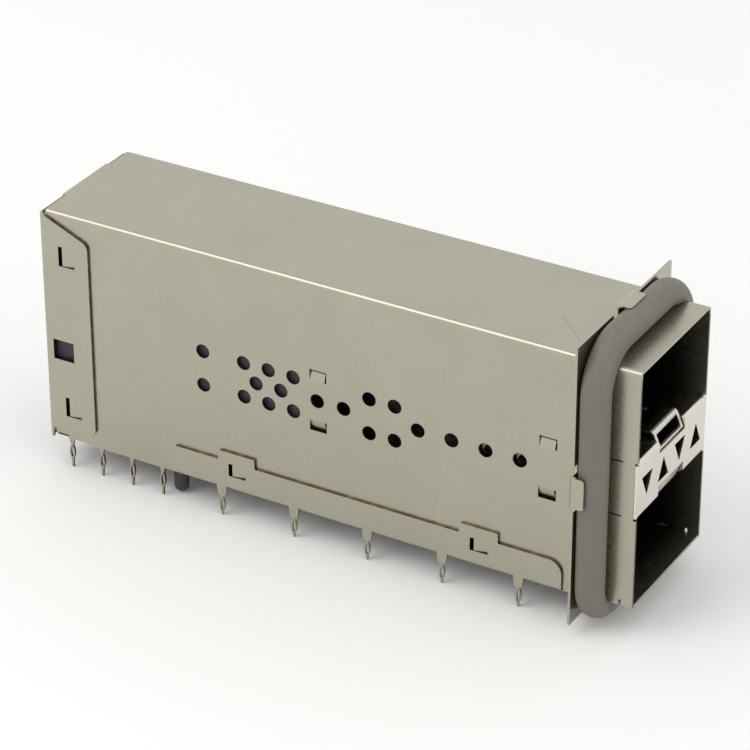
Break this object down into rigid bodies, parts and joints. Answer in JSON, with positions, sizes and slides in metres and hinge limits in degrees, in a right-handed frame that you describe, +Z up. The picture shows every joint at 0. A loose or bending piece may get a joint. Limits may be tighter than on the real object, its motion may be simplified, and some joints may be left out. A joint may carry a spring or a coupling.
{
  "type": "stacked pluggable-module cage with connector",
  "caption": "Stacked press-fit sheet-metal cage for pluggable network modules, ports belly to belly, with an elastomer gasket round the mouth and a connector behind.",
  "frame": {"origin": "on the board's top (z = 0), under the cage, 28.5 mm behind the mouth", "axes": "+Z up from the board, -Y out of the ports towards the bezel, +X to the right as seen from the ports"},
  "size_m": [0.0206, 0.0649, 0.0317],
  "materials": {
    "tin_plate": "satin plated sheet",
    "bright_tin": "bright plated sheet",
    "elastomer": "matt conductive elastomer",
    "housing_black": "matt moulded",
    "wafer_black": "matt moulded",
    "contact_gold": "plated contact metal"
  },
  "bodies": {
    "root": {"main_shell": "tin_plate", "base_sheet": "tin_plate", "rear_cover": "tin_plate", "port_separator": "bright_tin", "gasket_plate": "bright_tin", "gasket": "elastomer", "connector_housing": "housing_black", "wafer_1": "wafer_black", "terminals_1": "contact_gold", "wafer_2": "wafer_black", "terminals_2": "contact_gold", "wafer_3": "wafer_black", "terminals_3": "contact_gold", "wafer_4": "wafer_black", "terminals_4": "contact_gold", "wafer_5": "wafer_black", "terminals_5": "contact_gold", "wafer_6": "wafer_black", "terminals_6": "contact_gold", "wafer_7": "wafer_black", "terminals_7": "contact_gold", "wafer_8": "wafer_black", "terminals_8": "contact_gold", "wafer_9": "wafer_black", "terminals_9": "contact_gold", "wafer_10": "wafer_black", "terminals_10": "contact_gold"}
  },
  "joints": []
}
